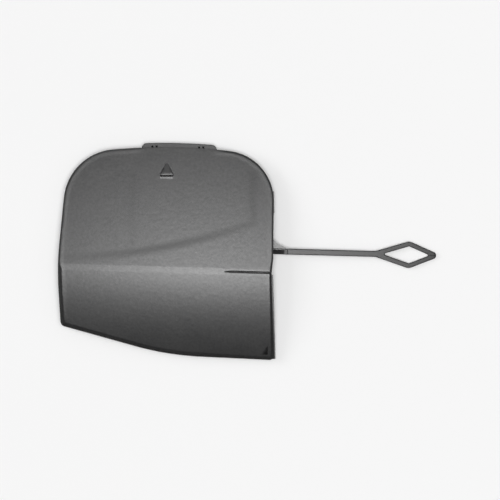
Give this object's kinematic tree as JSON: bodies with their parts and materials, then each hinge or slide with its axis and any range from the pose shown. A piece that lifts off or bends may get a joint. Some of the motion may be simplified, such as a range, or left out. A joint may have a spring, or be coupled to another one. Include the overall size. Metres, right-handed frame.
{
  "type": "bumper tow hook cover",
  "caption": "Curved bumper access cover with a creased face, a hook tab, snap legs and a moulded tether strap that ends in a diamond loop.",
  "frame": {"origin": "middle of the whole part's box, strap included, on the table it lies on", "axes": "+X along the bumper, towards the tether strap's loop; +Y up the bumper, towards the hook tab; +Z out of the face"},
  "size_m": [0.1666, 0.0958, 0.0146],
  "materials": {
    "satin_plastic": "satin"
  },
  "bodies": {
    "root": {"tow_hook_cover": "satin_plastic"}
  },
  "joints": []
}
